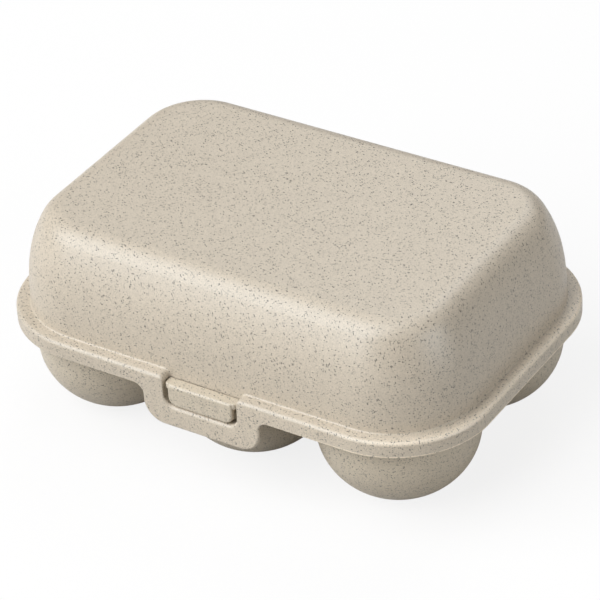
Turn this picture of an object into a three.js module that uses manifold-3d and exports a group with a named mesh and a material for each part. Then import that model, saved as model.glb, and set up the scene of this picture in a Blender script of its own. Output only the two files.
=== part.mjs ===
// A moulded egg box for six eggs: a tray with six round cups, a domed lid that
// swings on two snap hooks at the back, and a springy clasp at the front.
// Millimetres, +Z up. The origin is the middle of the box on the surface that it
// stands on, the front with the clasp faces -Y, and the long side runs along X.

import * as THREE from 'three';
import { mergeVertices } from 'three/addons/utils/BufferGeometryUtils.js';
import Module from 'manifold-3d';

// Driving dimensions of the whole box
const BOX_LENGTH = 154;
const BOX_WIDTH = 106.4;
const BOX_HEIGHT = 64.1;
const RIM_CORNER = 29;

// Lid: a thick ledge and skirt all round, and a thinner dome
const DOME_WALL = 1.6;
const RIM_WALL = 2.2;
const SKIRT_BOTTOM = 27.9;
const LEDGE_TOP = 32.9;
const LEDGE_AT_ENDS = 4.25;
const LEDGE_AT_SIDES = 3.95;
const LEDGE_EDGE_ROUND = 0.6;
const DOME_FOOT_FILLET = 1.5;
const DOME_CORNER = 25.6;
const DOME_TOP_FILLET = 8.2;
// How far in the wall would lean over the whole rise, and how late the lean comes
const DOME_WALL_INSET = 8.3;
const DOME_WALL_POWER = 2.8;
// How much of its inset the plan corner loses while the wall leans in
const CORNER_TAPER_SHARE = 1.1;

// Tray: deck, flange and cups
const TRAY_WALL = 1.6;
const FLANGE_WALL = 1.6;
const RIM_TO_CUP_AT_ENDS = 5.36;
const RIM_TO_CUP_AT_SIDES = 5.09;
const CUP_GAP_ALONG = 0.54;
const CUP_GAP_ACROSS = 1.42;
const CUP_DEPTH_SHARE = 0.916;
const CUP_FOOT_RADIUS = 10;
const CUP_LIP = 1.2;
const WEB_WIDTH = 9;
const WEB_DEPTH = 14.4;
const WEB_INSET = 0.5;

// Clasp: a loop that hangs from the skirt round the lug of the tray
const CLASP_DROP = 11.7;
const CLASP_BAR = 7.1;
const CLASP_WIDTH = 39;
const CLASP_CORNER = 6.8;
const CLASP_ROOT_FILLET = 3.1;
const CLASP_EDGE_ROUND = 0.45;
const WINDOW_WIDTH = 24.8;
const WINDOW_CORNER = 3.4;
const WINDOW_TOP_ROUND = 1;
const CATCH_BEVEL = 1.3;

// Lug of the tray that fills the window
const LUG_BOTTOM_GAP = 0.4;
const LUG_SIDE_GAP = 1.55;
const LUG_CORNER = 3;
const LUG_EDGE_ROUND = 0.9;
const LUG_RISE = 0.4;
// The strip of the deck that reaches out through the window to carry the lug
const STRIP_SETBACK = 0.45;
const STRIP_CORNER = 1.2;

// Back hinge: a pin between two ears of the tray, and a hook of the lid round it
const HINGE_DROP = 4.1;
const HINGE_PIN_RADIUS = 1.5;
const HOOK_WIDTH = 10;
const HOOK_WALL = 1.6;
const HOOK_MOUTH_ANGLE = Math.PI * 0.6;
const HOOK_MOUTH_TURN = Math.PI * 0.75;
const EAR_WALL = 2.4;
const EAR_RIM = 1.1;
const EAR_ROOT = 6;

// Clearances
const SEAT_GAP = 0.3;
const RIM_GAP = 0.4;
const SPLIT_GAP = 0.3;
const PIN_GAP = 0.3;
const SIDE_GAP = 0.4;
// Cuts run past the face that they open by this much
const OVERRUN = 1;

// Facets and repetitions
const CORNER_STEPS = 9;
const CUP_STEPS = 32;
const CUP_RINGS = 7;
const WALL_RINGS = 5;
const FILLET_RINGS = 4;
const SMALL_ARC_STEPS = 3;
const PIN_STEPS = 20;
const LEAN_PASSES = 20;

// Sizes worked out from the driving ones
const halfLength = BOX_LENGTH / 2;
const halfWidth = BOX_WIDTH / 2;
const domeLength = halfLength - LEDGE_AT_ENDS;
const domeWidth = halfWidth - LEDGE_AT_SIDES;
const domeRise = BOX_HEIGHT - LEDGE_TOP;
const ledgeUnderside = LEDGE_TOP - RIM_WALL;
const deckTop = ledgeUnderside - SEAT_GAP;
const deckBottom = deckTop - TRAY_WALL;
const flangeInset = RIM_WALL + RIM_GAP;
const flangeFront = halfWidth - flangeInset;
// Three cups along the length and two across the width, as wide as fits both ways
const cupSpaceAlong = BOX_LENGTH - 2 * RIM_TO_CUP_AT_ENDS;
const cupSpaceAcross = BOX_WIDTH - 2 * RIM_TO_CUP_AT_SIDES;
const cupRadius = Math.min(
  (cupSpaceAlong - 2 * CUP_GAP_ALONG) / 6,
  (cupSpaceAcross - CUP_GAP_ACROSS) / 4,
);
const cupPitchAlong = cupSpaceAlong / 2 - cupRadius;
const cupPitchAcross = cupSpaceAcross - 2 * cupRadius;
const cupHalfDepth = cupRadius * CUP_DEPTH_SHARE;
const cupCentreHeight = cupHalfDepth * Math.sqrt(1 - (CUP_FOOT_RADIUS / cupRadius) ** 2);
const cupColumns = [-cupPitchAlong, 0, cupPitchAlong];
const cupRows = [-cupPitchAcross / 2, cupPitchAcross / 2];
const claspRoot = SKIRT_BOTTOM - SPLIT_GAP;
const claspBottom = SKIRT_BOTTOM - CLASP_DROP;
const windowBottom = claspBottom + CLASP_BAR;
const lugBottom = windowBottom + LUG_BOTTOM_GAP;
const lugHalfWidth = WINDOW_WIDTH / 2 - LUG_SIDE_GAP;
const lugTop = deckTop + LUG_RISE;
const lugBack = -domeWidth - SEAT_GAP;
const hookInside = HINGE_PIN_RADIUS + PIN_GAP;
const hookOutside = hookInside + HOOK_WALL;
const hingeBack = halfWidth - hookOutside;
const hingeHeight = SKIRT_BOTTOM - HINGE_DROP;
const hingePlaces = [-cupPitchAlong / 2, cupPitchAlong / 2];

const wasm = await Module();
wasm.setup();

// Solids and meshes

function solid(geometry) {
  const bare = geometry.clone();
  bare.deleteAttribute('normal');
  bare.deleteAttribute('uv');
  const merged = mergeVertices(bare);
  return new wasm.Manifold(new wasm.Mesh({
    numProp: 3,
    vertProperties: new Float32Array(merged.attributes.position.array),
    triVerts: new Uint32Array(merged.index.array),
  }));
}

function geometryOf(body) {
  const mesh = body.getMesh();
  const geometry = new THREE.BufferGeometry();
  geometry.setAttribute('position', new THREE.BufferAttribute(new Float32Array(mesh.vertProperties), 3));
  geometry.setIndex(new THREE.BufferAttribute(new Uint32Array(mesh.triVerts), 1));
  geometry.computeVertexNormals();
  return geometry;
}

function joined(bodies) {
  return bodies.reduce((whole, body) => whole.add(body));
}

function without(body, cuts) {
  return cuts.reduce((whole, cut) => whole.subtract(cut), body);
}

// A box between two corners
function block(low, high) {
  const size = new THREE.Vector3().subVectors(high, low);
  const middle = new THREE.Vector3().addVectors(low, high).multiplyScalar(1 / 2);
  return solid(new THREE.BoxGeometry(size.x, size.y, size.z).translate(middle.x, middle.y, middle.z));
}

// A rounded rectangle round the origin, as points from the middle of the +X side
function roundedRectangle(halfX, halfY, radius) {
  const points = [];
  const corners = [[1, 1], [-1, 1], [-1, -1], [1, -1]];
  corners.forEach(([signX, signY], quarter) => {
    for (let step = 0; step <= CORNER_STEPS; step += 1) {
      const angle = (quarter + step / CORNER_STEPS) * Math.PI / 2;
      points.push(new THREE.Vector2(
        signX * (halfX - radius) + radius * Math.cos(angle),
        signY * (halfY - radius) + radius * Math.sin(angle),
      ));
    }
  });
  return points;
}

// A closed solid through rings of equal counts, from the lowest to the highest
function loft(rings) {
  const count = rings[0].outline.length;
  const positions = [];
  const triangles = [];
  rings.forEach(({ outline, height }) => {
    outline.forEach((point) => positions.push(point.x, point.y, height));
  });
  const last = rings.length - 1;
  for (let ring = 0; ring < last; ring += 1) {
    for (let i = 0; i < count; i += 1) {
      const a = ring * count + i;
      const b = ring * count + (i + 1) % count;
      triangles.push(a, b, b + count, a, b + count, a + count);
    }
  }
  const bottomMiddle = positions.length / 3;
  positions.push(0, 0, rings[0].height);
  positions.push(0, 0, rings[last].height);
  for (let i = 0; i < count; i += 1) {
    const next = (i + 1) % count;
    triangles.push(bottomMiddle, next, i);
    triangles.push(bottomMiddle + 1, last * count + i, last * count + next);
  }
  const geometry = new THREE.BufferGeometry();
  geometry.setAttribute('position', new THREE.Float32BufferAttribute(positions, 3));
  geometry.setIndex(triangles);
  return solid(geometry);
}

// A flat outline in the X-Z plane, given depth from its front face at -Y backwards
function plateAlongY(shape, front, depth, edgeRound) {
  const geometry = new THREE.ExtrudeGeometry(shape, {
    depth: depth - 2 * edgeRound,
    bevelEnabled: edgeRound > 0,
    bevelThickness: edgeRound,
    bevelSize: edgeRound,
    bevelOffset: -edgeRound,
    bevelSegments: SMALL_ARC_STEPS - 1,
    curveSegments: CORNER_STEPS - 1,
  });
  // The outline's second axis stands up, and its depth then runs towards -Y
  geometry.rotateX(Math.PI / 2);
  geometry.translate(0, front + depth - edgeRound, 0);
  return solid(geometry);
}

// A flat outline in the Y-Z plane, given width along X round a middle
function plateAlongX(shape, middle, width) {
  const geometry = new THREE.ExtrudeGeometry(shape, {
    depth: width,
    bevelEnabled: false,
    curveSegments: PIN_STEPS / 2,
  });
  // First axis to +Y, second to +Z, depth to +X
  geometry.applyMatrix4(new THREE.Matrix4().makeBasis(
    new THREE.Vector3(0, 1, 0),
    new THREE.Vector3(0, 0, 1),
    new THREE.Vector3(1, 0, 0),
  ));
  geometry.translate(middle - width / 2, 0, 0);
  return solid(geometry);
}

function polygon(points) {
  return new THREE.Shape(points.map(([x, y]) => new THREE.Vector2(x, y)));
}

// Lid

// The dome's wall leans in ever more with height, then rolls over into the top.
// Returns steps of height above the foot and inset from it.
function domeProfile(rise, fillet) {
  const insetAt = (height) => DOME_WALL_INSET * (height / domeRise) ** DOME_WALL_POWER;
  const leanAt = (height) => Math.atan(DOME_WALL_POWER * insetAt(height) / height);
  // The height at which the wall meets the fillet follows from the lean, found by repetition
  let wallRise = rise - fillet;
  for (let pass = 0; pass < LEAN_PASSES; pass += 1) {
    wallRise = rise - fillet + fillet * Math.sin(leanAt(wallRise));
  }
  const lean = leanAt(wallRise);
  const steps = [];
  for (let i = 0; i < WALL_RINGS; i += 1) {
    const height = wallRise * i / WALL_RINGS;
    steps.push({ height, inset: insetAt(height) });
  }
  const middleInset = insetAt(wallRise) + fillet * Math.cos(lean);
  for (let i = 0; i <= FILLET_RINGS; i += 1) {
    const angle = lean + (Math.PI / 2 - lean) * i / FILLET_RINGS;
    steps.push({
      height: rise - fillet + fillet * Math.sin(angle),
      inset: middleInset - fillet * Math.cos(angle),
    });
  }
  return steps;
}

function ringAt(height, halfX, halfY, radius) {
  return { height, outline: roundedRectangle(halfX, halfY, radius) };
}

// The rings of the dome from the ledge up, drawn in by a wall thickness for the inside
function domeRings(wall) {
  const steps = domeProfile(BOX_HEIGHT - wall - LEDGE_TOP, DOME_TOP_FILLET - wall);
  return steps.map(({ height, inset }) => ringAt(
    LEDGE_TOP + height,
    domeLength - wall - inset,
    domeWidth - wall - inset,
    DOME_CORNER - wall - CORNER_TAPER_SHARE * inset,
  ));
}

function lidOutside() {
  const rings = [ringAt(SKIRT_BOTTOM, halfLength, halfWidth, RIM_CORNER)];
  for (let i = 0; i <= SMALL_ARC_STEPS; i += 1) {
    const angle = Math.PI / 2 * i / SMALL_ARC_STEPS;
    const inset = LEDGE_EDGE_ROUND * (1 - Math.cos(angle));
    const height = LEDGE_TOP - LEDGE_EDGE_ROUND * (1 - Math.sin(angle));
    rings.push(ringAt(height, halfLength - inset, halfWidth - inset, RIM_CORNER - inset));
  }
  for (let i = 0; i < SMALL_ARC_STEPS; i += 1) {
    const angle = Math.PI / 2 * i / SMALL_ARC_STEPS;
    const inset = DOME_FOOT_FILLET * (1 - Math.sin(angle));
    const height = LEDGE_TOP + DOME_FOOT_FILLET * (1 - Math.cos(angle));
    rings.push(ringAt(height, domeLength + inset, domeWidth + inset, DOME_CORNER + inset));
  }
  const aboveFillet = domeRings(0).filter((ring) => ring.height > LEDGE_TOP + DOME_FOOT_FILLET);
  return loft([...rings, ...aboveFillet]);
}

function lidInside() {
  const skirtRing = (height) => ringAt(
    height, halfLength - RIM_WALL, halfWidth - RIM_WALL, RIM_CORNER - RIM_WALL,
  );
  const skirt = loft([skirtRing(SKIRT_BOTTOM - OVERRUN), skirtRing(ledgeUnderside)]);
  const dome = domeRings(DOME_WALL);
  const foot = { height: ledgeUnderside - OVERRUN, outline: dome[0].outline };
  return skirt.add(loft([foot, ...dome]));
}

// The notch of the window in the ledge and the skirt, as far back as the dome's wall,
// with the ledge's two ends rounded over at the top
function windowNotch() {
  const side = WINDOW_WIDTH / 2;
  const round = WINDOW_TOP_ROUND;
  const bottom = SKIRT_BOTTOM - OVERRUN;
  const top = LEDGE_TOP + DOME_FOOT_FILLET + OVERRUN;
  const shape = new THREE.Shape();
  shape.moveTo(side + round, top);
  shape.lineTo(-side - round, top);
  shape.absarc(-side - round, LEDGE_TOP - round, round, Math.PI / 2, 0, true);
  shape.lineTo(-side, bottom);
  shape.lineTo(side, bottom);
  shape.absarc(side + round, LEDGE_TOP - round, round, Math.PI, Math.PI / 2, true);
  shape.closePath();
  return plateAlongY(shape, -halfWidth - OVERRUN, LEDGE_AT_SIDES + OVERRUN, 0);
}

function hookDisc(radius, width) {
  const disc = new THREE.CylinderGeometry(radius, radius, width, PIN_STEPS);
  disc.rotateZ(Math.PI / 2);
  disc.translate(0, hingeBack, hingeHeight);
  return solid(disc);
}

// A finger down from the skirt that ends in a ring round the pin, open up and inwards
function hook(place) {
  const finger = block(
    new THREE.Vector3(-HOOK_WIDTH / 2, halfWidth - RIM_WALL, hingeHeight),
    new THREE.Vector3(HOOK_WIDTH / 2, halfWidth, SKIRT_BOTTOM + OVERRUN),
  );
  const reach = 2 * hookOutside;
  const mouthPoint = (angle) => [
    hingeBack + reach * Math.cos(angle),
    hingeHeight + reach * Math.sin(angle),
  ];
  const mouth = plateAlongX(polygon([
    [hingeBack, hingeHeight],
    mouthPoint(HOOK_MOUTH_TURN - HOOK_MOUTH_ANGLE / 2),
    mouthPoint(HOOK_MOUTH_TURN),
    mouthPoint(HOOK_MOUTH_TURN + HOOK_MOUTH_ANGLE / 2),
  ]), 0, HOOK_WIDTH + 2 * OVERRUN);
  const ring = hookDisc(hookOutside, HOOK_WIDTH).subtract(mouth);
  return ring.add(finger).subtract(hookDisc(hookInside, HOOK_WIDTH + 2 * OVERRUN)).translate([place, 0, 0]);
}

function lidShell() {
  const shell = lidOutside().subtract(lidInside()).subtract(windowNotch());
  return joined([shell, ...hingePlaces.map(hook)]);
}

// Clasp

// The outline of the loop in X and Z, with its window
function claspOutline() {
  const side = CLASP_WIDTH / 2;
  const top = SKIRT_BOTTOM + OVERRUN;
  const fillet = CLASP_ROOT_FILLET;
  const corner = CLASP_CORNER;
  const shape = new THREE.Shape();
  shape.moveTo(side + fillet, top);
  shape.lineTo(-side - fillet, top);
  shape.lineTo(-side - fillet, SKIRT_BOTTOM);
  shape.absarc(-side - fillet, SKIRT_BOTTOM - fillet, fillet, Math.PI / 2, 0, true);
  shape.absarc(-side + corner, claspBottom + corner, corner, Math.PI, Math.PI * 3 / 2, false);
  shape.absarc(side - corner, claspBottom + corner, corner, -Math.PI / 2, 0, false);
  shape.absarc(side + fillet, SKIRT_BOTTOM - fillet, fillet, Math.PI, Math.PI / 2, true);
  shape.closePath();
  return shape;
}

// The window's outline, open at the top
function windowOutline() {
  const side = WINDOW_WIDTH / 2;
  const top = SKIRT_BOTTOM + 2 * OVERRUN;
  const corner = WINDOW_CORNER;
  const shape = new THREE.Shape();
  shape.moveTo(side, top);
  shape.lineTo(-side, top);
  shape.absarc(-side + corner, windowBottom + corner, corner, Math.PI, Math.PI * 3 / 2, false);
  shape.absarc(side - corner, windowBottom + corner, corner, -Math.PI / 2, 0, false);
  shape.closePath();
  return shape;
}

function claspLoop() {
  const plate = plateAlongY(claspOutline(), -halfWidth, RIM_WALL, CLASP_EDGE_ROUND);
  const window = plateAlongY(windowOutline(), -halfWidth - OVERRUN, RIM_WALL + 2 * OVERRUN, 0);
  const above = block(
    new THREE.Vector3(-CLASP_WIDTH, -halfWidth - OVERRUN, claspRoot),
    new THREE.Vector3(CLASP_WIDTH, -halfWidth + RIM_WALL + OVERRUN, SKIRT_BOTTOM + 2 * OVERRUN),
  );
  // The bar's upper inside edge is sloped, so that the loop rides out over the lug
  const inside = -halfWidth + RIM_WALL;
  const slope = plateAlongX(polygon([
    [inside + OVERRUN, windowBottom - CATCH_BEVEL - OVERRUN],
    [inside + OVERRUN, windowBottom + OVERRUN],
    [inside - CATCH_BEVEL - OVERRUN, windowBottom + OVERRUN],
  ]), 0, WINDOW_WIDTH - 2 * WINDOW_CORNER);
  return without(plate, [window, above, slope]);
}

// Tray

function cupOutside() {
  const profile = [new THREE.Vector2(0, 0)];
  const low = Math.asin(cupCentreHeight / cupHalfDepth);
  for (let i = 0; i <= CUP_RINGS; i += 1) {
    const angle = -low * (1 - i / CUP_RINGS);
    profile.push(new THREE.Vector2(
      cupRadius * Math.cos(angle),
      cupCentreHeight + cupHalfDepth * Math.sin(angle),
    ));
  }
  profile.push(new THREE.Vector2(cupRadius, deckBottom + TRAY_WALL / 2));
  profile.push(new THREE.Vector2(0, deckBottom + TRAY_WALL / 2));
  return solid(new THREE.LatheGeometry(profile, CUP_STEPS).rotateX(Math.PI / 2));
}

function cupInside() {
  const radius = cupRadius - TRAY_WALL;
  const halfDepth = cupHalfDepth - TRAY_WALL;
  const floor = TRAY_WALL;
  const profile = [new THREE.Vector2(0, floor)];
  const low = Math.asin((cupCentreHeight - floor) / halfDepth);
  for (let i = 0; i <= CUP_RINGS; i += 1) {
    const angle = -low * (1 - i / CUP_RINGS);
    profile.push(new THREE.Vector2(
      radius * Math.cos(angle),
      cupCentreHeight + halfDepth * Math.sin(angle),
    ));
  }
  for (let i = 0; i <= SMALL_ARC_STEPS; i += 1) {
    const angle = Math.PI / 2 * i / SMALL_ARC_STEPS;
    profile.push(new THREE.Vector2(
      radius + CUP_LIP * (1 - Math.cos(angle)),
      deckTop - CUP_LIP * (1 - Math.sin(angle)),
    ));
  }
  profile.push(new THREE.Vector2(radius + CUP_LIP, deckTop + OVERRUN));
  profile.push(new THREE.Vector2(0, deckTop + OVERRUN));
  return solid(new THREE.LatheGeometry(profile, CUP_STEPS).rotateX(Math.PI / 2));
}

function atEveryCup(body) {
  return cupColumns.flatMap((x) => cupRows.map((y) => body.translate([x, y, 0])));
}

function web(x, y, halfX, halfY) {
  return block(
    new THREE.Vector3(x - halfX, y - halfY, deckTop - WEB_DEPTH),
    new THREE.Vector3(x + halfX, y + halfY, deckTop - TRAY_WALL / 2),
  );
}

// Neighbouring cups are joined by a thick web where they nearly touch
function webs() {
  const inside = cupRadius - TRAY_WALL + WEB_INSET;
  const acrossLength = cupPitchAlong / 2 - inside;
  const acrossWidth = cupPitchAcross / 2 - inside;
  const lengthways = hingePlaces.flatMap(
    (x) => cupRows.map((y) => web(x, y, acrossLength, WEB_WIDTH / 2)),
  );
  const widthways = cupColumns.map((x) => web(x, 0, WEB_WIDTH / 2, acrossWidth));
  return [...lengthways, ...widthways];
}

function deckAndFlange() {
  const outer = (height) => ringAt(
    height, halfLength - flangeInset, halfWidth - flangeInset, RIM_CORNER - flangeInset,
  );
  const under = flangeInset + FLANGE_WALL;
  const inner = (height) => ringAt(height, halfLength - under, halfWidth - under, RIM_CORNER - under);
  const slab = loft([outer(SKIRT_BOTTOM), outer(deckTop)]);
  return slab.subtract(loft([inner(SKIRT_BOTTOM - OVERRUN), inner(deckBottom)]));
}

// The lug stands in the window flush with the loop, on a strip that reaches out from the deck
function lug() {
  const side = lugHalfWidth;
  const corner = LUG_CORNER;
  const outline = new THREE.Shape();
  outline.moveTo(side, lugTop);
  outline.lineTo(-side, lugTop);
  outline.absarc(-side + corner, lugBottom + corner, corner, Math.PI, Math.PI * 3 / 2, false);
  outline.absarc(side - corner, lugBottom + corner, corner, -Math.PI / 2, 0, false);
  outline.closePath();
  const depth = halfWidth + lugBack;
  // The back keeps sharp edges, as it runs into the flange
  const front = plateAlongY(outline, -halfWidth, depth + LUG_EDGE_ROUND, LUG_EDGE_ROUND);
  const behind = block(
    new THREE.Vector3(-BOX_LENGTH, lugBack, 0),
    new THREE.Vector3(BOX_LENGTH, 0, BOX_HEIGHT),
  );
  return front.subtract(behind).add(strip());
}

// Drawn from above, with its front corners rounded
function strip() {
  const side = WINDOW_WIDTH / 2 - SIDE_GAP;
  const front = -halfWidth + STRIP_SETBACK;
  const corner = STRIP_CORNER;
  const shape = new THREE.Shape();
  shape.moveTo(side, lugBack);
  shape.lineTo(-side, lugBack);
  shape.absarc(-side + corner, front + corner, corner, Math.PI, Math.PI * 3 / 2, false);
  shape.absarc(side - corner, front + corner, corner, -Math.PI / 2, 0, false);
  shape.closePath();
  const geometry = new THREE.ExtrudeGeometry(shape, {
    depth: TRAY_WALL,
    bevelEnabled: false,
    curveSegments: SMALL_ARC_STEPS,
  });
  return solid(geometry.translate(0, 0, lugTop - TRAY_WALL));
}

// An ear comes down from the deck and the flange and carries one end of the pin
function ear(x) {
  const radius = HINGE_PIN_RADIUS + EAR_RIM;
  const shape = new THREE.Shape();
  const overDeck = deckTop - TRAY_WALL / 2;
  const face = flangeFront;
  shape.moveTo(hingeBack - EAR_ROOT, overDeck);
  shape.lineTo(hingeBack - radius, hingeHeight);
  shape.absarc(hingeBack, hingeHeight, radius, Math.PI, Math.PI * 2, false);
  shape.lineTo(face, hingeHeight + radius);
  shape.lineTo(face, overDeck);
  shape.closePath();
  return plateAlongX(shape, x, EAR_WALL);
}

function hingePart(place) {
  const earMiddle = HOOK_WIDTH / 2 + SIDE_GAP + EAR_WALL / 2;
  const pin = hookDisc(HINGE_PIN_RADIUS, 2 * earMiddle).translate([place, 0, 0]);
  return [pin, ear(place - earMiddle), ear(place + earMiddle)];
}

function eggTray() {
  const outside = joined([
    deckAndFlange(),
    ...atEveryCup(cupOutside()),
    ...webs(),
    lug(),
    ...hingePlaces.flatMap(hingePart),
  ]);
  return without(outside, atEveryCup(cupInside()));
}

// The finished box

const plastic = { roughness: 0.55, metalness: 0 };
const trayMaterial = new THREE.MeshStandardMaterial({ color: 0xcfc5b3, ...plastic });
const lidMaterial = new THREE.MeshStandardMaterial({ color: 0xd3c9b8, ...plastic });
const claspMaterial = new THREE.MeshStandardMaterial({ color: 0xd0c6b5, ...plastic });

function named(name, body, material) {
  const mesh = new THREE.Mesh(geometryOf(body), material);
  mesh.name = name;
  return mesh;
}

const eggBox = new THREE.Group();
eggBox.add(named('egg_tray', eggTray(), trayMaterial));
eggBox.add(named('lid_shell', lidShell(), lidMaterial));
eggBox.add(named('clasp_loop', claspLoop(), claspMaterial));

export default eggBox;
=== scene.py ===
"""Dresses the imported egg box: smooth mouldings, flecked plastic, studio light and camera."""
import math

import bmesh
import bpy
from mathutils import Matrix, Vector


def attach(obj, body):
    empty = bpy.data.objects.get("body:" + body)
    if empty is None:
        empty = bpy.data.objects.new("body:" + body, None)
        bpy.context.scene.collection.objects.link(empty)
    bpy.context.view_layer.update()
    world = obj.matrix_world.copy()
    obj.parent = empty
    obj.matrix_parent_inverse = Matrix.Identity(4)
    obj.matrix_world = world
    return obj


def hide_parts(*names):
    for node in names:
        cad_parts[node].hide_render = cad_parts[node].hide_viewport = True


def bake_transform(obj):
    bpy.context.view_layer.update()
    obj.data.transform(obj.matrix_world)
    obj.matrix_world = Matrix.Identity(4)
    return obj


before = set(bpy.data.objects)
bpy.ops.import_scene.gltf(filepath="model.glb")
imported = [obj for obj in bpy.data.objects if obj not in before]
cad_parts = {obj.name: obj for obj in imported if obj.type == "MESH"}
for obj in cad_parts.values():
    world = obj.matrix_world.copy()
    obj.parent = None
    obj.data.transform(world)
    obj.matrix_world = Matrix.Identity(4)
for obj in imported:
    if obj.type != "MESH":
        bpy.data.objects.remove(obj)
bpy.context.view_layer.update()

# Lengths below are millimetres, and meshes are written in metres
MM = 0.001

# Lid: overall, rim and dome
HALF_LENGTH = 77.0
HALF_WIDTH = 53.2
BOX_HEIGHT = 64.1
RIM_CORNER = 29.0
RIM_WALL = 2.2
SKIRT_BOTTOM = 27.9
SKIRT_BACK = RIM_WALL - HALF_WIDTH
SKIRT_EDGE_ROUND = 0.25
LEDGE_TOP = 32.9
LEDGE_UNDERSIDE = LEDGE_TOP - RIM_WALL
LEDGE_EDGE_ROUND = 1.2
LEDGE_WIDTH_AT_ENDS = 4.25
LEDGE_WIDTH_AT_SIDES = 3.95
DOME_HALF_LENGTH = HALF_LENGTH - LEDGE_WIDTH_AT_ENDS
DOME_HALF_WIDTH = HALF_WIDTH - LEDGE_WIDTH_AT_SIDES
DOME_CORNER = 25.6
DOME_WALL = 1.6
DOME_FOOT_FILLET = 0.5
DOME_TOP_FILLET = 8.2
DOME_WALL_INSET = 8.3
DOME_WALL_POWER = 2.8
CORNER_TAPER_SHARE = 1.1

# Clasp loop and its window
CLASP_HALF_WIDTH = 19.5
CLASP_BOTTOM = 16.2
CLASP_CORNER = 6.8
CLASP_ROOT_FILLET = 3.1
CLASP_EDGE_ROUND = 0.8
CLASP_ROOT = 27.6
WINDOW_HALF_WIDTH = 12.4
WINDOW_BOTTOM = 23.3
WINDOW_CORNER = 3.4
WINDOW_TOP_CORNER = 1.4
WINDOW_EDGE_ROUND = 0.4
# The straight stretch of the rim that is built together with the clasp
FRONT_HALF = 26.0

# Tray: deck, flange, cups and webs
TRAY_WALL = 1.6
DECK_GAP = 0.3
DECK_TOP = LEDGE_UNDERSIDE - DECK_GAP
DECK_BOTTOM = DECK_TOP - TRAY_WALL
RIM_GAP = 0.4
FLANGE_INSET = RIM_WALL + RIM_GAP
FLANGE_WALL = 1.6
FLANGE_ROUND = 0.4
CUP_RADIUS = 23.7
CUP_HALF_DEPTH = 21.71
CUP_FOOT_RADIUS = 10.0
CUP_PITCH_ALONG = 47.94
CUP_PITCH_ACROSS = 48.82
CUP_LIP = 1.2
WEB_HALF_WIDTH = 4.5
WEB_BOTTOM = 16.0
WEB_OVERLAP = 1.1
WEB_REACH_ALONG = CUP_PITCH_ALONG / 2 - CUP_RADIUS + WEB_OVERLAP
WEB_REACH_ACROSS = CUP_PITCH_ACROSS / 2 - CUP_RADIUS + WEB_OVERLAP

# Strip of the deck in the window
STRIP_TOP = 30.8
STRIP_THICKNESS = 1.6
STRIP_FRONT = -52.7
STRIP_BACK = -49.55
STRIP_HALF_WIDTH = 12.0
STRIP_CORNER = 1.2
STRIP_EDGE_ROUND = 0.35

# Lug in the window. Its top stays a hair under the strip's, so that the two don't coincide
LUG_SIDE_GAP = 1.55
LUG_HALF_WIDTH = WINDOW_HALF_WIDTH - LUG_SIDE_GAP
LUG_PLAY = 0.4
LUG_BOTTOM = WINDOW_BOTTOM + LUG_PLAY
LUG_TOP_STEP = 0.01
LUG_TOP = STRIP_TOP - LUG_TOP_STEP
LUG_THICKNESS = 1.45
LUG_CORNER = 3.0
LUG_TOP_CORNER = 1.1
LUG_EDGE_ROUND = 0.8

# Apron under the strip, behind lug and clasp
APRON_HALF_WIDTH = 14.0
APRON_FRONT = -50.2
APRON_THICKNESS = 0.5
APRON_TOP = 29.3
APRON_BOTTOM = 22.0
APRON_CORNER = 3.0
APRON_TOP_CORNER = 0.3
APRON_EDGE_ROUND = 0.2

# Hinge: hooks of the lid round pins of the tray, each pin between two ears
HINGE_BACK = 49.8
HINGE_HEIGHT = 23.8
HINGE_AXIS = (HINGE_BACK, HINGE_HEIGHT)
HINGE_SIDES = (("left", -CUP_PITCH_ALONG / 2), ("right", CUP_PITCH_ALONG / 2))
PIN_RADIUS = 1.5
PIN_EDGE_ROUND = 0.05
HOOK_INSIDE = 1.8
HOOK_OUTSIDE = 3.4
HOOK_HALF_WIDTH = 5.0
HOOK_SET_BACK = 0.05
HOOK_OVERLAP = 0.3
HOOK_EDGE_ROUND = 0.3
HOOK_MOUTH_FROM = math.radians(81)
HOOK_MOUTH_TO = math.radians(-171)
EAR_WALL = 2.4
EAR_RADIUS = 2.6
EAR_ROOT = 6.0
EAR_GAP = 0.4
EAR_EDGE_ROUND = 0.25

# Facets and smoothing
CORNER_STEPS = 22
ARC_STEPS = 5
PLATE_EDGE_STEPS = 3
HOOK_STEPS = 24
HOOK_ROOT_STEPS = 2
EAR_STEPS = 14
PIN_STEPS = 28
WALL_RINGS = 14
FILLET_RINGS = 14
CUP_STEPS = 96
CUP_RINGS = 26
LEAN_ROUNDS = 20
MITRE_LIMIT = 0.6
WELD = 0.002
SHARP_ANGLE = math.radians(35)
NORMAL_WEIGHT = 60

# The rim's colour is painted paler in three places, as painted highlight. Each ALONG says between which X
# that fades in.
# The skirt's lower edge has a painted highlight line up to the first of these heights, and none from the
# second on
PALE_LINE = 0.45
PALE_LINE_FADE = 0.12
PALE_LINE_HEIGHTS = (SKIRT_BOTTOM + PALE_LINE, SKIRT_BOTTOM + PALE_LINE + PALE_LINE_FADE)
LOWER_EDGE_ALONG = (26.0, 44.0)

# The painted highlight on the ledge's edge has one share for each ring of its round, from the face up
LEDGE_EDGE_SHARES = (0.0, 0.45, 0.75, 0.75, 0.45, 0.45)
LEDGE_EDGE_ALONG = (36.0, 72.0)

# The rim's face up to this height is painted only a little paler, as painted light
FACE_SHARE = 0.15
FACE_TOP = 31.8
FACE_ALONG = (-40.0, 10.0)

# How many times as bright a point with full painted highlight is
PAINTED_HIGHLIGHT_GAIN = 1.6


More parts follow.
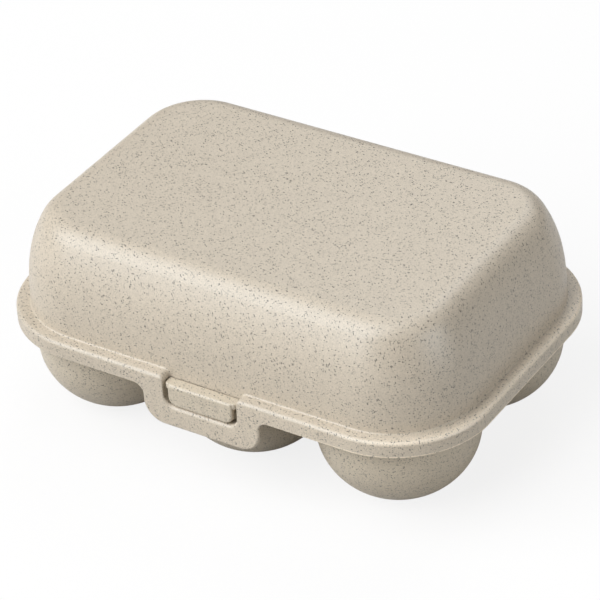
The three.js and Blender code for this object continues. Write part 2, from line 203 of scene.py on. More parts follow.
class Builder:
    """Collects faces in millimetres and makes one welded mesh object of them."""

    def __init__(self):
        self.mesh = bmesh.new()

    def vert(self, point):
        return self.mesh.verts.new(Vector(point) * MM)

    def face(self, points):
        self.mesh.faces.new([self.vert(point) for point in points])

    def grid(self, rows, closed=False, skip=()):
        """Quads between rows of equal counts; skip names columns that are left open."""
        verts = [[self.vert(point) for point in row] for row in rows]
        count = len(rows[0])
        for upper, lower in zip(verts, verts[1:]):
            for i in range(count if closed else count - 1):
                if i not in skip:
                    j = (i + 1) % count
                    self.mesh.faces.new([upper[i], upper[j], lower[j], lower[i]])

    def fill(self, loops):
        """A flat face with holes: the first loop is the outline."""
        edges = []
        for loop in loops:
            verts = [self.vert(point) for point in loop]
            edges += [self.mesh.edges.new(pair) for pair in zip(verts, verts[1:] + verts[:1])]
        bmesh.ops.triangle_fill(self.mesh, use_beauty=True, edges=edges)

    def weld(self):
        bmesh.ops.remove_doubles(self.mesh, verts=self.mesh.verts, dist=WELD * MM)
        bmesh.ops.dissolve_degenerate(self.mesh, edges=self.mesh.edges, dist=WELD * MM / 2)
        bmesh.ops.recalc_face_normals(self.mesh, faces=self.mesh.faces)

    def object(self, name):
        self.weld()
        return shown(name, self.mesh)


def shown(name, mesh):
    """A smooth shaded object of a finished mesh, with its sharp edges kept."""
    data = bpy.data.meshes.new(name)
    mesh.to_mesh(data)
    mesh.free()
    data.shade_smooth()
    data.set_sharp_from_angle(angle=SHARP_ANGLE)
    obj = bpy.data.objects.new(name, data)
    bpy.context.scene.collection.objects.link(obj)
    weights = obj.modifiers.new("even_normals", "WEIGHTED_NORMAL")
    weights.keep_sharp = True
    weights.weight = NORMAL_WEIGHT
    return obj


def arc_angles(start, stop, steps):
    return [start + (stop - start) * i / steps for i in range(steps + 1)]


def arc(centre, radius, start, stop, steps):
    """Points of an arc in a plane, from one angle to another."""
    return [(centre[0] + radius * math.cos(angle), centre[1] + radius * math.sin(angle))
            for angle in arc_angles(start, stop, steps)]


def between(first, second, share):
    return first + (second - first) * share


# Lid

FRONT_STATIONS = (-FRONT_HALF, -WINDOW_HALF_WIDTH - WINDOW_TOP_CORNER,
                  WINDOW_HALF_WIDTH + WINDOW_TOP_CORNER, FRONT_HALF)


def ring(half_x, half_y, radius, height):
    """A rounded rectangle from the +X side, with the clasp's stations on the front."""
    points = []
    for quarter, (side_x, side_y) in enumerate(((1, 1), (-1, 1), (-1, -1), (1, -1))):
        if quarter == 3:
            points += [(x, -half_y) for x in FRONT_STATIONS]
        centre = (side_x * (half_x - radius), side_y * (half_y - radius))
        points += arc(centre, radius, quarter * math.pi / 2, (quarter + 1) * math.pi / 2, CORNER_STEPS)
    return [(x, y, height) for x, y in points]


FIRST_STATION = 3 * (CORNER_STEPS + 1)
FRONT_COLUMNS = range(FIRST_STATION, FIRST_STATION + len(FRONT_STATIONS) - 1)


def dome_steps(rise, fillet):
    """Height above the ledge and inset of the dome's wall, then of its rounded top edge."""
    def inset_at(height):
        return DOME_WALL_INSET * (height / (BOX_HEIGHT - LEDGE_TOP)) ** DOME_WALL_POWER

    def lean_at(height):
        return math.atan(DOME_WALL_POWER * inset_at(height) / height)

    wall_rise = rise - fillet
    for _ in range(LEAN_ROUNDS):
        wall_rise = rise - fillet + fillet * math.sin(lean_at(wall_rise))
    lean = lean_at(wall_rise)
    heights = [wall_rise * i / WALL_RINGS for i in range(WALL_RINGS)]
    steps = [(height, inset_at(height)) for height in heights]
    middle = inset_at(wall_rise) + fillet * math.cos(lean)
    for outwards, height in arc((0, rise - fillet), fillet, lean, math.pi / 2, FILLET_RINGS):
        steps.append((height, middle - outwards))
    return steps


def dome_rings(wall, from_height):
    """Rings of the dome's outside, or of its inside one wall further in, above a height."""
    rings = []
    for rise, inset in dome_steps(BOX_HEIGHT - wall - LEDGE_TOP, DOME_TOP_FILLET - wall):
        height = LEDGE_TOP + rise
        if height > from_height + WELD:
            rings.append(ring(DOME_HALF_LENGTH - wall - inset, DOME_HALF_WIDTH - wall - inset,
                              DOME_CORNER - wall - CORNER_TAPER_SHARE * inset, height))
    return rings


def rim_ring(inset, height):
    return ring(HALF_LENGTH - inset, HALF_WIDTH - inset, RIM_CORNER - inset, height)


def foot_ring(outset, height):
    return ring(DOME_HALF_LENGTH + outset, DOME_HALF_WIDTH + outset, DOME_CORNER + outset, height)


def rim_profile():
    """(inset, height) from the skirt's lower edge up its face and over the ledge's edge."""
    profile = arc((SKIRT_EDGE_ROUND, SKIRT_BOTTOM + SKIRT_EDGE_ROUND), SKIRT_EDGE_ROUND,
                  -math.pi / 2, -math.pi, ARC_STEPS)
    profile += [(0, height) for height in PALE_LINE_HEIGHTS]
    profile += arc((LEDGE_EDGE_ROUND, LEDGE_TOP - LEDGE_EDGE_ROUND), LEDGE_EDGE_ROUND,
                   math.pi, math.pi / 2, ARC_STEPS)
    return profile


def lid_body(build):
    """The dome and the rim, open where the front stretch goes."""
    inner_foot = foot_ring(-DOME_WALL, LEDGE_UNDERSIDE)
    foot_top = LEDGE_TOP + DOME_FOOT_FILLET
    rim = [inner_foot, rim_ring(RIM_WALL, LEDGE_UNDERSIDE), rim_ring(RIM_WALL, SKIRT_BOTTOM)]
    rim += [rim_ring(inset, height) for inset, height in rim_profile()]
    rim += [foot_ring(outset, height) for outset, height in
            arc((DOME_FOOT_FILLET, foot_top), DOME_FOOT_FILLET, -math.pi / 2, -math.pi, ARC_STEPS)]
    outside = [foot_ring(0, foot_top)] + dome_rings(0, foot_top)
    inside = [inner_foot] + dome_rings(DOME_WALL, LEDGE_UNDERSIDE)
    build.grid(rim, closed=True, skip=FRONT_COLUMNS)
    build.grid(outside, closed=True)
    build.grid(inside, closed=True)
    build.face(outside[-1])
    build.face(inside[-1])


def with_normals(segments):
    """Joins (points, outward angles) stretches into one list of ((x, z), (nx, nz))."""
    joined = []
    for points, angles in segments:
        joined += [(point, (math.cos(angle), math.sin(angle))) for point, angle in zip(points, angles)]
    return joined


def arc_stretch(centre, radius, start, stop, steps, hollow=False):
    """The points of an arc, and the outward angle at each, turned round for a hollow one."""
    turn = math.pi if hollow else 0
    return arc(centre, radius, start, stop, steps), [angle + turn for angle in arc_angles(start, stop, steps)]


def lower_path():
    """The band's lower edge and the loop's outline, from left to right."""
    pi = math.pi
    side, fillet, corner = CLASP_HALF_WIDTH, CLASP_ROOT_FILLET, CLASP_CORNER
    steps = 3 * ARC_STEPS
    return with_normals([
        ([(-FRONT_HALF, SKIRT_BOTTOM)], [-pi / 2]),
        arc_stretch((-side - fillet, SKIRT_BOTTOM - fillet), fillet, pi / 2, 0, steps, hollow=True),
        arc_stretch((-side + corner, CLASP_BOTTOM + corner), corner, pi, pi * 3 / 2, steps),
        arc_stretch((side - corner, CLASP_BOTTOM + corner), corner, -pi / 2, 0, steps),
        arc_stretch((side + fillet, SKIRT_BOTTOM - fillet), fillet, pi, pi / 2, steps, hollow=True),
        ([(FRONT_HALF, SKIRT_BOTTOM)], [-pi / 2]),
    ])


def upper_path():
    """The ledge's edge and the window's outline, from right to left."""
    pi = math.pi
    side, top, corner = WINDOW_HALF_WIDTH, WINDOW_TOP_CORNER, WINDOW_CORNER
    steps = 2 * ARC_STEPS
    return with_normals([
        ([(FRONT_HALF, LEDGE_TOP)], [pi / 2]),
        arc_stretch((side + top, LEDGE_TOP - top), top, pi / 2, pi, steps),
        ([(side, LEDGE_UNDERSIDE)], [pi]),
        arc_stretch((side - corner, WINDOW_BOTTOM + corner), corner, 0, -pi / 2, steps, hollow=True),
        arc_stretch((-side + corner, WINDOW_BOTTOM + corner), corner, -pi / 2, -pi, steps, hollow=True),
        ([(-side, LEDGE_UNDERSIDE)], [0]),
        arc_stretch((-side - top, LEDGE_TOP - top), top, 0, pi / 2, steps),
        ([(-FRONT_HALF, LEDGE_TOP)], [pi / 2]),
    ])


def rounded_edge(point, normal, radius, front=-HALF_WIDTH):
    """From the front face over the rounded edge onto the side, at one point of a path."""
    (x, z), (nx, nz) = point, normal
    return [(x + nx * out, front + back, z + nz * out)
            for back, out in arc((radius, -radius), radius, math.pi, math.pi / 2, ARC_STEPS)]


def lower_row(point, normal):
    """Front to back across the band's lower edge, rounder where it is the loop's."""
    share = min(1.0, (SKIRT_BOTTOM - point[1]) / CLASP_ROOT_FILLET)
    radius = between(SKIRT_EDGE_ROUND, CLASP_EDGE_ROUND, share)
    return rounded_edge(point, normal, radius) + [(point[0], SKIRT_BACK, point[1])]


def upper_row(point, normal):
    """Front to back across the window's edge, rounder where it runs along the ledge."""
    share = max(0.0, normal[1]) ** 2
    radius = between(WINDOW_EDGE_ROUND, LEDGE_EDGE_ROUND, share)
    return rounded_edge(point, normal, radius) + [(point[0], SKIRT_BACK, point[1])]


def ledge_row(point, normal):
    """From over the skirt's back along the ledge and up the fillet of the dome's foot."""
    (x, z), (nx, nz) = point, normal
    fillet = DOME_FOOT_FILLET
    climb = arc((-DOME_HALF_WIDTH - fillet, fillet), fillet, -math.pi / 2, 0, ARC_STEPS)
    return [(x, SKIRT_BACK, z)] + [(x + nx * out, y, z + nz * out) for y, out in climb]


def front_stretch(build):
    """The flush front of band and clasp, with the window through band and ledge."""
    lower = [lower_row(point, normal) for point, normal in lower_path()]
    upper = [upper_row(point, normal) for point, normal in upper_path()]
    ledge = [ledge_row(point, normal) for point, normal in upper_path() if point[1] > LEDGE_UNDERSIDE - WELD]
    right, left = ledge[:len(ledge) // 2], ledge[len(ledge) // 2:]
    for rows in (lower, upper, right, left):
        build.grid(rows)
    right_end, left_end = ([(side * FRONT_HALF, -HALF_WIDTH, height) for height in PALE_LINE_HEIGHTS]
                           for side in (1, -1))
    build.face([row[0] for row in lower] + right_end + [row[0] for row in upper] + left_end[::-1])
    # The back of skirt and loop, up to the ledge's underside
    back_left, back_right = ((side * FRONT_HALF, SKIRT_BACK, LEDGE_UNDERSIDE) for side in (-1, 1))
    window = [row[-1] for row in upper if row[-1][2] < LEDGE_UNDERSIDE + WELD]
    build.face([row[-1] for row in lower] + [back_right] + window + [back_left])
    # The ledge's underside and the foot of the dome's wall
    stations = [(x, DOME_WALL - DOME_HALF_WIDTH, LEDGE_UNDERSIDE) for x in FRONT_STATIONS]
    build.face([back_right] + right[-1] + left[0][::-1] + [back_left] + stations)
    # The dome's wall behind the window
    build.face([row[-1] for row in right[1:]] + [row[-1] for row in left[:-1]])


def split_at_clasp_root(whole):
    """Two meshes of the one moulding: the lid above the clasp's root, and the loop below."""
    parts = []
    for below in (False, True):
        part = whole.copy()
        cut = bmesh.ops.bisect_plane(
            part, geom=part.verts[:] + part.edges[:] + part.faces[:], dist=WELD * MM / 10,
            plane_co=(0, 0, CLASP_ROOT * MM), plane_no=(0, 0, 1), clear_outer=below, clear_inner=not below)
        edges = [item for item in cut["geom_cut"] if isinstance(item, bmesh.types.BMEdge)]
        bmesh.ops.holes_fill(part, edges=edges, sides=0)
        bmesh.ops.recalc_face_normals(part, faces=part.faces)
        parts.append(part)
    return parts


def lid_and_clasp():
    build = Builder()
    lid_body(build)
    front_stretch(build)
    build.weld()
    parts = split_at_clasp_root(build.mesh)
    build.mesh.free()
    return [shown(name, part) for name, part in zip(("lid_moulding", "clasp_loop_moulding"), parts)]


def eased(value, start, stop):
    """0 before start, 1 after stop, and smooth between them."""
    along = min(1, max(0, (value - start) / (stop - start)))
    return along * along * (3 - 2 * along)


def painted_highlight_share(x, y, z):
    """How much painted highlight a point gets, from 0 to 1. Only the rim's face and edges get it."""
    aside = max(0, x - HALF_LENGTH + RIM_CORNER)
    across = max(0, abs(y) - HALF_WIDTH + RIM_CORNER)
    inset = RIM_CORNER - math.hypot(aside, across)
    if inset > LEDGE_EDGE_ROUND + WELD or z > LEDGE_TOP + WELD:
        return 0
    share = 0
    edge = arc((0, LEDGE_TOP - LEDGE_EDGE_ROUND), LEDGE_EDGE_ROUND, 0, math.pi / 2, ARC_STEPS)
    for (_, height), edge_share in zip(edge, LEDGE_EDGE_SHARES):
        if z > height - WELD:
            share = edge_share * eased(x, *LEDGE_EDGE_ALONG)
    if z < sum(PALE_LINE_HEIGHTS) / 2:
        share = eased(x, *LOWER_EDGE_ALONG)
    if z < FACE_TOP:
        share = max(share, FACE_SHARE * eased(x, *FACE_ALONG))
    return share


def paint_highlight(obj):
    """Stores at each point how much painted highlight it gets, for the plastic's colour."""
    layer = obj.data.attributes.new("painted_highlight", "FLOAT", "POINT")
    layer.data.foreach_set("value", [painted_highlight_share(*(vert.co / MM)) for vert in obj.data.vertices])


def extrude_along_x(build, outline, low, high, edge):
    """A closed (y, z) outline, anticlockwise seen from +X, as a plate with rounded edges."""
    count = len(outline)
    normals = []
    for i, (y, z) in enumerate(outline):
        (y0, z0), (y1, z1) = outline[i - 1], outline[(i + 1) % count]
        before = Vector((z - z0, y0 - y)).normalized()
        after = Vector((z1 - z, y - y1)).normalized()
        middle = before + after
        normals.append(middle / max(MITRE_LIMIT, middle.length_squared / 2))
    rows = []
    for centre, start, stop in ((low + edge, -math.pi / 2, -math.pi), (high - edge, math.pi, math.pi / 2)):
        for inwards, x in arc((edge, centre), edge, start, stop, PLATE_EDGE_STEPS):
            rows.append([(x, y - normal.x * inwards, z - normal.y * inwards)
                         for (y, z), normal in zip(outline, normals)])
    build.grid(rows, closed=True)
    build.face(rows[0])
    build.face(rows[-1])


def hinge_hook(name, place):
    """A finger from the skirt that ends in an open ring round the pin."""
    back = HALF_WIDTH - HOOK_SET_BACK
    inner = HALF_WIDTH - RIM_WALL
    top = SKIRT_BOTTOM + HOOK_OVERLAP
    meeting = math.acos((inner - HINGE_BACK) / HOOK_OUTSIDE)
    outline = [(back, top), (inner, top)]
    outline += arc(HINGE_AXIS, HOOK_OUTSIDE, meeting, HOOK_MOUTH_FROM, HOOK_ROOT_STEPS)
    outline += arc(HINGE_AXIS, HOOK_INSIDE, HOOK_MOUTH_FROM, HOOK_MOUTH_TO, HOOK_STEPS)
    outline += arc(HINGE_AXIS, back - HINGE_BACK, HOOK_MOUTH_TO, 0, HOOK_STEPS)
    build = Builder()
    extrude_along_x(build, outline, place - HOOK_HALF_WIDTH, place + HOOK_HALF_WIDTH, HOOK_EDGE_ROUND)
    return build.object(name)


# Tray

CUP_COLUMNS = (-CUP_PITCH_ALONG, 0, CUP_PITCH_ALONG)
CUP_ROWS = (-CUP_PITCH_ACROSS / 2, CUP_PITCH_ACROSS / 2)
CUP_CENTRE_HEIGHT = CUP_HALF_DEPTH * math.sqrt(1 - (CUP_FOOT_RADIUS / CUP_RADIUS) ** 2)
CUP_INSIDE = CUP_RADIUS - TRAY_WALL
LIP_RADIUS = CUP_INSIDE + CUP_LIP
# Webs and ears end half way up inside the deck
ROOT_HEIGHT = (DECK_TOP + DECK_BOTTOM) / 2


def circle(x, y, radius, height):
    angles = [2 * math.pi * i / CUP_STEPS for i in range(CUP_STEPS)]
    return [(x + radius * math.cos(angle), y + radius * math.sin(angle), height) for angle in angles]


def bowl_profile(radius, half_depth, bottom):
    """(radius, height) from the foot's edge up to the bowl's widest place."""
    low = math.asin((CUP_CENTRE_HEIGHT - bottom) / half_depth)
    return [(reach, CUP_CENTRE_HEIGHT + depth * half_depth / radius)
            for reach, depth in arc((0, 0), radius, -low, 0, CUP_RINGS)]


def cup(build, x, y):
    """One bowl, outside up to the deck's underside and inside over its rounded lip."""
    outside = bowl_profile(CUP_RADIUS, CUP_HALF_DEPTH, 0) + [(CUP_RADIUS, DECK_BOTTOM)]
    inside = bowl_profile(CUP_INSIDE, CUP_HALF_DEPTH - TRAY_WALL, TRAY_WALL)
    inside += arc((LIP_RADIUS, DECK_TOP - CUP_LIP), CUP_LIP, math.pi, math.pi / 2, ARC_STEPS)
    for profile in (outside, inside):
        build.grid([circle(x, y, radius, height) for radius, height in profile], closed=True)
        build.face(circle(x, y, *profile[0]))


def block(build, low, high):
    """A plain box between two corners."""
    (x0, y0, z0), (x1, y1, z1) = low, high
    bottom, top = ([(x0, y0, z), (x1, y0, z), (x1, y1, z), (x0, y1, z)] for z in (z0, z1))
    build.grid([bottom, top], closed=True)
    build.face(bottom)
    build.face(top)


def webs():
    """The webs that join the cups where they nearly touch."""
    build = Builder()
    places = [(x, y, WEB_REACH_ALONG, WEB_HALF_WIDTH) for x in (-CUP_PITCH_ALONG / 2, CUP_PITCH_ALONG / 2)
              for y in CUP_ROWS]
    places += [(x, 0, WEB_HALF_WIDTH, WEB_REACH_ACROSS) for x in CUP_COLUMNS]
    for x, y, half_x, half_y in places:
        block(build, (x - half_x, y - half_y, WEB_BOTTOM), (x + half_x, y + half_y, ROOT_HEIGHT))
    return build.object("cup_webs")


def tray():
    """The deck with its flange, and the six cups."""
    build = Builder()
    edge = FLANGE_ROUND
    profile = arc((edge, DECK_TOP - edge), edge, math.pi / 2, math.pi, ARC_STEPS)
    profile += arc((edge, SKIRT_BOTTOM + edge), edge, math.pi, math.pi * 3 / 2, ARC_STEPS)
    profile += [(FLANGE_WALL, SKIRT_BOTTOM), (FLANGE_WALL, DECK_BOTTOM)]
    rings = [rim_ring(FLANGE_INSET + inset, height) for inset, height in profile]
    build.grid(rings, closed=True)
    places = [(x, y) for x in CUP_COLUMNS for y in CUP_ROWS]
    build.fill([rings[0]] + [circle(x, y, LIP_RADIUS, DECK_TOP) for x, y in places])
    build.fill([rings[-1]] + [circle(x, y, CUP_RADIUS, DECK_BOTTOM) for x, y in places])
    for x, y in places:
        cup(build, x, y)
    return build.object("tray_moulding")


def plate(build, side, bottom, top, corner, top_corner, edge, front, thickness):
    """An upright plate with round corners and a rounded edge in front."""
    pi = math.pi
    path = with_normals([
        arc_stretch((side - top_corner, top - top_corner), top_corner, 0, pi / 2, ARC_STEPS),
        arc_stretch((-side + top_corner, top - top_corner), top_corner, pi / 2, pi, ARC_STEPS),
        arc_stretch((-side + corner, bottom + corner), corner, pi, pi * 3 / 2, 2 * ARC_STEPS),
        arc_stretch((side - corner, bottom + corner), corner, -pi / 2, 0, 2 * ARC_STEPS),
    ])
    rows = [rounded_edge((x, z), normal, edge, front) + [(x, front + thickness, z)]
            for (x, z), normal in path]
    build.grid(rows + rows[:1])
    build.face([row[0] for row in rows])
    build.face([row[-1] for row in rows])


def lug():
    """The lug's plate in the window, flush with the loop."""
    build = Builder()
    plate(build, LUG_HALF_WIDTH, LUG_BOTTOM, LUG_TOP, LUG_CORNER, LUG_TOP_CORNER, LUG_EDGE_ROUND,
          -HALF_WIDTH, LUG_THICKNESS)
    return build.object("catch_lug")


def strip():
    """The strip of the deck in the window, with round front corners, and the apron under it."""
    pi = math.pi
    side, corner, edge = STRIP_HALF_WIDTH, STRIP_CORNER, STRIP_EDGE_ROUND
    path = with_normals([
        ([(side, STRIP_BACK)], [0]),
        ([(-side, STRIP_BACK)], [pi]),
        arc_stretch((-side + corner, STRIP_FRONT + corner), corner, pi, pi * 3 / 2, ARC_STEPS),
        arc_stretch((side - corner, STRIP_FRONT + corner), corner, -pi / 2, 0, ARC_STEPS),
    ])
    build = Builder()
    rows = []
    for (x, y), (nx, ny) in path:
        row = [(x, y, STRIP_TOP - STRIP_THICKNESS)]
        for out, z in arc((-edge, STRIP_TOP - edge), edge, 0, pi / 2, ARC_STEPS):
            row.append((x + nx * out, y + ny * out, z))
        rows.append(row)
    build.grid(rows + rows[:1])
    build.face([row[0] for row in rows])
    build.face([row[-1] for row in rows])
    plate(build, APRON_HALF_WIDTH, APRON_BOTTOM, APRON_TOP, APRON_CORNER, APRON_TOP_CORNER, APRON_EDGE_ROUND,
          APRON_FRONT, APRON_THICKNESS)
    return build.object("lug_strip")


def hinge_ear(build, x):
    """A flat ear that hangs from deck and flange, round at its lower end."""
    face = HALF_WIDTH - FLANGE_INSET
    outline = [(face, ROOT_HEIGHT), (HINGE_BACK - EAR_ROOT, ROOT_HEIGHT)]
    outline += arc(HINGE_AXIS, EAR_RADIUS, math.pi, 2 * math.pi, EAR_STEPS)
    outline += [(face, HINGE_HEIGHT + EAR_RADIUS)]
    extrude_along_x(build, outline, x - EAR_WALL / 2, x + EAR_WALL / 2, EAR_EDGE_ROUND)


def hinge_pin(name, place):
    """A pin between two ears of the tray."""
    build = Builder()
    reach = HOOK_HALF_WIDTH + EAR_GAP + EAR_WALL / 2
    hinge_ear(build, place - reach)
    hinge_ear(build, place + reach)
    outline = arc(HINGE_AXIS, PIN_RADIUS, 0, 2 * math.pi, PIN_STEPS)[:-1]
    extrude_along_x(build, outline, place - reach, place + reach, PIN_EDGE_ROUND)
    return build.object(name)


# Plastic, with colours as seen on a screen, 0 to 255

LID_COLOUR = (206, 195, 178)
TRAY_COLOUR = (209, 198, 179)
PLASTIC_ROUGHNESS = 0.42
PLASTIC_SPECULAR = 0.76
PLASTIC_SPECULAR_TINT = (0.86, 0.94, 1, 1)

# Soft noises that multiply the colour: scale a metre, detail, range of the noise, darkest and palest
TONES = (
    (260, 2, 0.3, 0.7, 0.98, 1.02),
    (3600, 1, 0.25, 0.75, 0.84, 1.18),
)

# Fibres in layers that each lie one way: turn, stretch, cells a metre, size in cells, share of the
# cells that are kept, colour, strength
FIBRES = (
    ((0.0, 0.0, 0.4), 3.6, 2800, 0.36, 0.16, (74, 69, 60), 1.1),
    ((0.2, 0.0, 1.3), 3.4, 3000, 0.36, 0.15, (84, 77, 66), 1.1),
    ((0.0, 0.3, 2.3), 3.4, 2600, 0.36, 0.15, (50, 47, 41), 1.35),
    ((0.3, 0.9, 5.7), 3.8, 2600, 0.36, 0.15, (48, 45, 40), 1.4),
    ((0.0, 0.0, 2.8), 3.0, 2400, 0.36, 0.13, (22, 21, 19), 1.4),
)
# A fibre is full up to this share of its size, and fades from there outwards
FIBRE_CORE = 0.7

# Fine grain of the surface, as bumps this deep
GRAIN_SCALE = 900
GRAIN_DETAIL = 2
GRAIN_STRENGTH = 0.25
GRAIN_DEPTH = 0.12


def srgb(*values):
    """A colour as it is seen on a screen, 0 to 255, as linear values."""
    def linear(share):
        return share / 12.92 if share <= 0.04045 else ((share + 0.055) / 1.055) ** 2.4

    return [linear(value / 255) for value in values] + [1.0]


def add_node(tree, kind, inputs, **settings):
    """Adds a node, links or writes its inputs, and returns its outputs."""
    made = tree.nodes.new(kind)
    for key, value in settings.items():
        setattr(made, key, value)
    for key, value in inputs.items():
        if isinstance(value, bpy.types.NodeSocket):
            tree.links.new(value, made.inputs[key])
        else:
            made.inputs[key].default_value = value
    return made.outputs


def calculated(tree, operation, first, second):
    return add_node(tree, "ShaderNodeMath", {0: first, 1: second}, operation=operation)["Value"]


def product(tree, first, second):
    return calculated(tree, "MULTIPLY", first, second)


def mixed(tree, share, first, second, blend="MIX"):
    """Two colours mixed or multiplied by a share."""
    return add_node(tree, "ShaderNodeMix", {"Factor": share, "A": first, "B": second},
                    data_type="RGBA", blend_type=blend)["Result"]


def ranged(tree, value, **ends):
    """Maps a value from one range to another, the ends named as in from_min."""
    inputs = {key.replace("_", " ").title(): end for key, end in ends.items()}
    return add_node(tree, "ShaderNodeMapRange", {"Value": value, **inputs})["Result"]


def tone(tree, coords, scale, detail, low, high, dark, light):
    """A multiplier that follows soft noise between two values."""
    cloud = add_node(tree, "ShaderNodeTexNoise", {"Vector": coords, "Scale": scale, "Detail": detail})
    return ranged(tree, cloud["Fac"], from_min=low, from_max=high, to_min=dark, to_max=light)


def fibre_share(tree, coords, turn, stretch, scale, size, share, strength):
    """How strongly a fibre covers a point. Fibres are cells of stretched space, and only some are kept."""
    place = add_node(tree, "ShaderNodeMapping",
                     {"Vector": coords, "Rotation": turn, "Scale": (stretch, 1, 1)}, vector_type="TEXTURE")
    cells = add_node(tree, "ShaderNodeTexVoronoi", {"Vector": place["Vector"], "Scale": scale})
    chance = add_node(tree, "ShaderNodeSeparateColor", {"Color": cells["Color"]})
    near = ranged(tree, cells["Distance"], from_min=size, from_max=size * FIBRE_CORE)
    kept = calculated(tree, "LESS_THAN", chance["Red"], share)
    return product(tree, product(tree, near, kept), product(tree, chance["Green"], strength))


def flecked_plastic(name, base):
    """Satin bioplastic with fine fibres of several greys and a pale grain."""
    material = bpy.data.materials.new(name)
    material.use_nodes = True
    tree = material.node_tree
    coords = add_node(tree, "ShaderNodeTexCoord", {})["Object"]
    colour = srgb(*base)
    for values in TONES:
        colour = mixed(tree, 1, colour, tone(tree, coords, *values), "MULTIPLY")
    for turn, stretch, scale, size, share, tint, strength in FIBRES:
        amount = fibre_share(tree, coords, turn, stretch, scale, size, share, strength)
        colour = mixed(tree, amount, colour, srgb(*tint))
    # The rim's colour gets a painted highlight, paler where the mesh's attribute says so
    painted_highlight = add_node(tree, "ShaderNodeAttribute", {}, attribute_name="painted_highlight")["Fac"]
    colour = mixed(tree, 1, colour, ranged(tree, painted_highlight, to_min=1, to_max=PAINTED_HIGHLIGHT_GAIN), "MULTIPLY")
    grain = add_node(tree, "ShaderNodeTexNoise",
                     {"Vector": coords, "Scale": GRAIN_SCALE, "Detail": GRAIN_DETAIL})
    bump = add_node(tree, "ShaderNodeBump",
                    {"Strength": GRAIN_STRENGTH, "Distance": GRAIN_DEPTH * MM, "Height": grain["Fac"]})
    shader = tree.nodes["Principled BSDF"]
    shader.inputs["Roughness"].default_value = PLASTIC_ROUGHNESS
    shader.inputs["Specular IOR Level"].default_value = PLASTIC_SPECULAR
    shader.inputs["Specular Tint"].default_value = PLASTIC_SPECULAR_TINT
    tree.links.new(colour, shader.inputs["Base Color"])
    tree.links.new(bump["Normal"], shader.inputs["Normal"])
    return material


# Pieces

lid, clasp = lid_and_clasp()
# Paints highlight into the rim's colour at its edges and face
paint_highlight(lid)
paint_highlight(clasp)
hooks = [hinge_hook(f"hinge_hook_{side}", place) for side, place in HINGE_SIDES]
pins = [hinge_pin(f"hinge_pin_{side}", place) for side, place in HINGE_SIDES]
tray_shell = tray()
tray_pieces = [tray_shell, webs(), lug(), strip(), *pins]

lid_plastic = flecked_plastic("lid_plastic", LID_COLOUR)
tray_plastic = flecked_plastic("tray_plastic", TRAY_COLOUR)
for obj in [lid, clasp, *hooks]:
    obj.data.materials.append(lid_plastic)
for obj in tray_pieces:
    obj.data.materials.append(tray_plastic)

for obj in [lid, *hooks]:
    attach(obj, "lid")
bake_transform(clasp)
for obj in tray_pieces:
    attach(obj, "tray")
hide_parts("lid_shell")
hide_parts("clasp_loop")
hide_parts("egg_tray")


# Floor

FLOOR_HALF = 4000
# How far the floor glows white by itself for the camera, so that its shadow stays faint. The box has no
# metal or glass that has to show that glow, so glossy rays see the floor without it
FLOOR_GLOW = 0.84
# The floor's colour for camera and glossy rays, and the darker one that lights the box from below
FLOOR_SEEN = (0.95, 0.95, 0.95, 1)
FLOOR_BOUNCE = (0.28, 0.26, 0.23, 1)
WHITE = (1, 1, 1, 1)


def ray_share(tree, camera_share, glossy_share):
    """One share for camera rays, one for glossy and transmission rays, and 0 for all others."""
    path = add_node(tree, "ShaderNodeLightPath", {})
    total = product(tree, path["Is Camera Ray"], camera_share)
    for ray in ("Is Glossy Ray", "Is Transmission Ray"):
        total = calculated(tree, "MAXIMUM", total, product(tree, path[ray], glossy_share))
    return total


def floor():
    build = Builder()
    build.face([(x * FLOOR_HALF, y * FLOOR_HALF, 0) for x, y in ((-1, -1), (1, -1), (1, 1), (-1, 1))])
    obj = build.object("floor")
    material = bpy.data.materials.new("floor_white")
    material.use_nodes = True
    tree = material.node_tree
    shader = tree.nodes["Principled BSDF"]
    shader.inputs["Roughness"].default_value = 1
    shader.inputs["Specular IOR Level"].default_value = 0
    pale = mixed(tree, ray_share(tree, 1, 1), FLOOR_BOUNCE, FLOOR_SEEN)
    tree.links.new(pale, shader.inputs["Base Color"])
    glow = add_node(tree, "ShaderNodeEmission", {"Color": WHITE})["Emission"]
    surface = add_node(tree, "ShaderNodeMixShader",
                       {"Fac": ray_share(tree, FLOOR_GLOW, 0), 1: shader.outputs["BSDF"], 2: glow})
    tree.links.new(surface["Shader"], tree.nodes["Material Output"].inputs["Surface"])
    obj.data.materials.append(material)


# Camera, fitted to outlines in the photo

CAMERA_AZIMUTH = math.radians(33.614)
CAMERA_ELEVATION = math.radians(34.225)
CAMERA_ROLL = math.radians(-3.517)
CAMERA_DISTANCE = 967.12
CAMERA_LENS = 199.436
CAMERA_SENSOR = 36
CAMERA_TARGET = Vector((0, 0, 35.27))
# How far it stands to the right of the line to its target, and above that line
CAMERA_ASIDE = 0.870
CAMERA_UP = -3.690


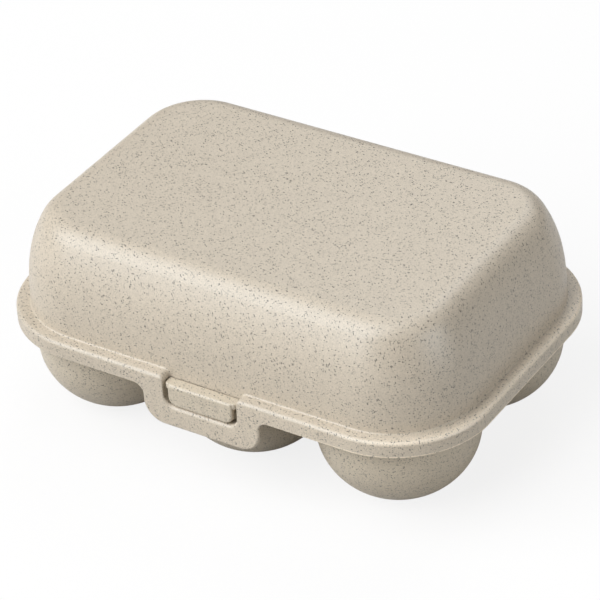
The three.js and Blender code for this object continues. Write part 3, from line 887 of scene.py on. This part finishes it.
def away_from_target(azimuth, elevation):
    """A direction away from the box, its azimuth counted from the front."""
    level = math.cos(elevation)
    return Vector((math.sin(azimuth) * level, -math.cos(azimuth) * level, math.sin(elevation)))


def camera():
    back = away_from_target(CAMERA_AZIMUTH, CAMERA_ELEVATION)
    level = Vector((math.cos(CAMERA_AZIMUTH), math.sin(CAMERA_AZIMUTH), 0))
    rise = back.cross(level)
    right = level * math.cos(CAMERA_ROLL) + rise * math.sin(CAMERA_ROLL)
    up = rise * math.cos(CAMERA_ROLL) - level * math.sin(CAMERA_ROLL)
    place = CAMERA_TARGET + right * CAMERA_ASIDE + up * CAMERA_UP + back * CAMERA_DISTANCE
    data = bpy.data.cameras.new("camera")
    data.lens = CAMERA_LENS
    data.sensor_width = CAMERA_SENSOR
    obj = bpy.data.objects.new("camera", data)
    obj.matrix_world = Matrix.LocRotScale(place * MM, Matrix((right, up, back)).transposed(), None)
    bpy.context.scene.collection.objects.link(obj)
    bpy.context.scene.camera = obj


# Lamps: degrees round from the front, degrees up, side in metres, watts

LAMP_DISTANCE = 3400
LAMPS = (
    (-39, 43, 3.6, 143.0),
    (-39, 30, 2.4, 6.0),
    (0, 90, 2.0, 17.9),
    (-168, 43, 2.0, 25.4),
    (90, 15, 2.0, 40.0),
    (-20, 15, 2.0, 16.5),
)


def softbox(azimuth, elevation, size, power):
    """A square lamp turned to the box."""
    away = away_from_target(math.radians(azimuth), math.radians(elevation))
    data = bpy.data.lights.new("softbox", "AREA")
    data.size = size
    data.energy = power
    obj = bpy.data.objects.new("softbox", data)
    obj.location = (away * LAMP_DISTANCE + CAMERA_TARGET) * MM
    obj.rotation_euler = away.to_track_quat("Z", "Y").to_euler()
    bpy.context.scene.collection.objects.link(obj)


def white_surroundings():
    """A world that only the camera sees, as white."""
    world = bpy.data.worlds.new("studio")
    bpy.context.scene.world = world
    world.use_nodes = True
    tree = world.node_tree
    background = tree.nodes["Background"]
    background.inputs["Color"].default_value = WHITE
    tree.links.new(ray_share(tree, 1, 0), background.inputs["Strength"])


floor()
camera()
for lamp in LAMPS:
    softbox(*lamp)
white_surroundings()
bpy.context.scene.view_settings.view_transform = "Standard"
